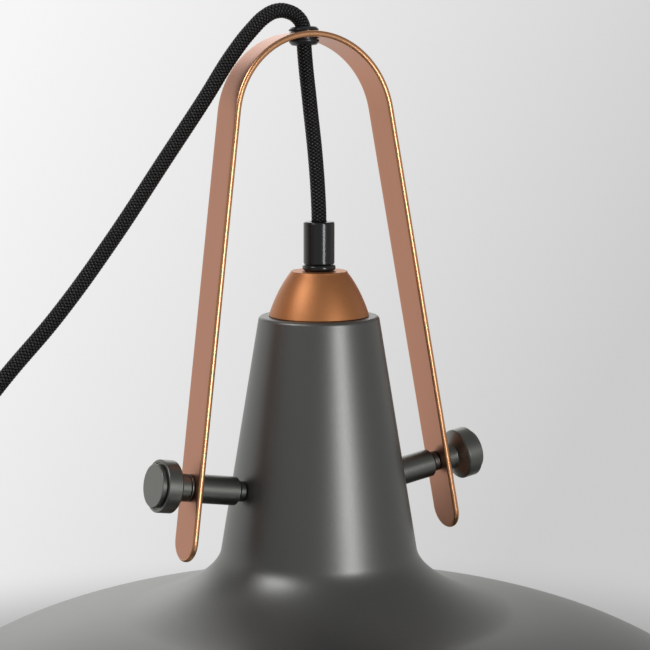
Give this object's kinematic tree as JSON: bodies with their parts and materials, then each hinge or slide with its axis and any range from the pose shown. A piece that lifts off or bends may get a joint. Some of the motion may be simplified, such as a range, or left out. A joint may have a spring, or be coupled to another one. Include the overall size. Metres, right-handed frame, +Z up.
{
  "type": "pendant lamp head",
  "caption": "Lamp head with a wide metal dome shade on a cone neck, a copper strap bail that tilts on thumb knobs, a copper cap, a bulb, and a braided cord to a ceiling canopy.",
  "frame": {"origin": "the shade's axis in the plane of its rim, which is the plane the lamp stands on", "axes": "+Z up along the shade's axis towards the cord grip; X runs through the two knobs, with the left knob at -X; the bail leans back towards +Y"},
  "size_m": [0.5438, 0.4, 0.3456],
  "materials": {
    "shade_grey": "dark warm grey metallic lacquer, satin, fine grain",
    "copper_plate": "brushed copper plate on steel, satin, bright on the cut edges",
    "turned_steel": "dark turned steel with fine rings",
    "zinc_steel": "bright zinc-plated steel",
    "black_plastic": "smooth black moulded plastic",
    "black_bakelite": "black bakelite, soft shine",
    "black_rubber": "smooth black rubber",
    "cord_braid": "black textile braid",
    "contact_brass": "bright brass",
    "opal_glass": "opal white glass",
    "white_plastic": "white moulded plastic"
  },
  "bodies": {
    "head": {"shade_shell": "shade_grey", "top_cap": "copper_plate", "threaded_nipple": "zinc_steel", "grip_collar": "black_plastic", "cord_grip": "black_plastic", "nipple_lock_washer": "zinc_steel", "nipple_nut": "zinc_steel", "lampholder_cap": "black_bakelite", "lampholder_body": "black_bakelite", "lampholder_screw_shell": "contact_brass", "lampholder_contact": "contact_brass", "left_stud": "zinc_steel", "left_spacer": "turned_steel", "left_stud_washer": "zinc_steel", "left_stud_nut": "zinc_steel", "right_stud": "zinc_steel", "right_spacer": "turned_steel", "right_stud_washer": "zinc_steel", "right_stud_nut": "zinc_steel", "cord": "cord_braid", "cord_tail": "cord_braid", "cord_coil": "cord_braid", "coil_tie": "black_rubber", "canopy_cup": "shade_grey", "canopy_grip": "black_plastic", "canopy_nipple": "zinc_steel", "canopy_nut": "zinc_steel", "canopy_bracket": "zinc_steel", "canopy_screw_left": "turned_steel", "canopy_screw_right": "turned_steel", "terminal_block": "white_plastic"},
    "bail": {"bail": "copper_plate", "bail_grommet": "black_rubber"},
    "left_clamp": {"left_knob_washer": "turned_steel"},
    "left_knob": {"left_knob": "turned_steel"},
    "right_clamp": {"right_knob_washer": "turned_steel"},
    "right_knob": {"right_knob": "turned_steel"},
    "bulb_foot": {"bulb_contact": "contact_brass"},
    "bulb": {"bulb_cap": "zinc_steel", "bulb_glass": "opal_glass"}
  },
  "joints": [
    {"name": "bail_tilt", "type": "hinge", "parent": "head", "child": "bail", "pos_m": [0, 0, 0.1339], "axis": [1, 0, 0], "range_deg": [-11, 19], "deforming": ["cord"]},
    {"name": "left_knob_travel", "type": "slide", "parent": "head", "child": "left_clamp", "axis": [-0.9869, 0, 0.1616], "range_m": [0, 0.008]},
    {"name": "left_knob_turn", "type": "hinge", "parent": "left_clamp", "child": "left_knob", "pos_m": [-0.0662, 0, 0.1339], "axis": [-0.9869, 0, 0.1616], "range_deg": [0, 2880]},
    {"name": "right_knob_travel", "type": "slide", "parent": "head", "child": "right_clamp", "axis": [0.9869, 0, 0.1616], "range_m": [0, 0.008]},
    {"name": "right_knob_turn", "type": "hinge", "parent": "right_clamp", "child": "right_knob", "pos_m": [0.0662, 0, 0.1339], "axis": [0.9869, 0, 0.1616], "range_deg": [0, 2880]},
    {"name": "bulb_travel", "type": "slide", "parent": "head", "child": "bulb_foot", "axis": [0, 0, -1], "range_m": [0, 0.0254]},
    {"name": "bulb_turn", "type": "hinge", "parent": "bulb_foot", "child": "bulb", "pos_m": [0, 0, 0.15], "axis": [0, 0, -1], "range_deg": [0, 2520]}
  ],
  "couplings": [
    {"joint": "left_knob_turn", "follows": "left_knob_travel", "rad_per_m": 6283.2},
    {"joint": "right_knob_turn", "follows": "right_knob_travel", "rad_per_m": 6283.2},
    {"joint": "bulb_turn", "follows": "bulb_travel", "rad_per_m": 1731.6}
  ]
}
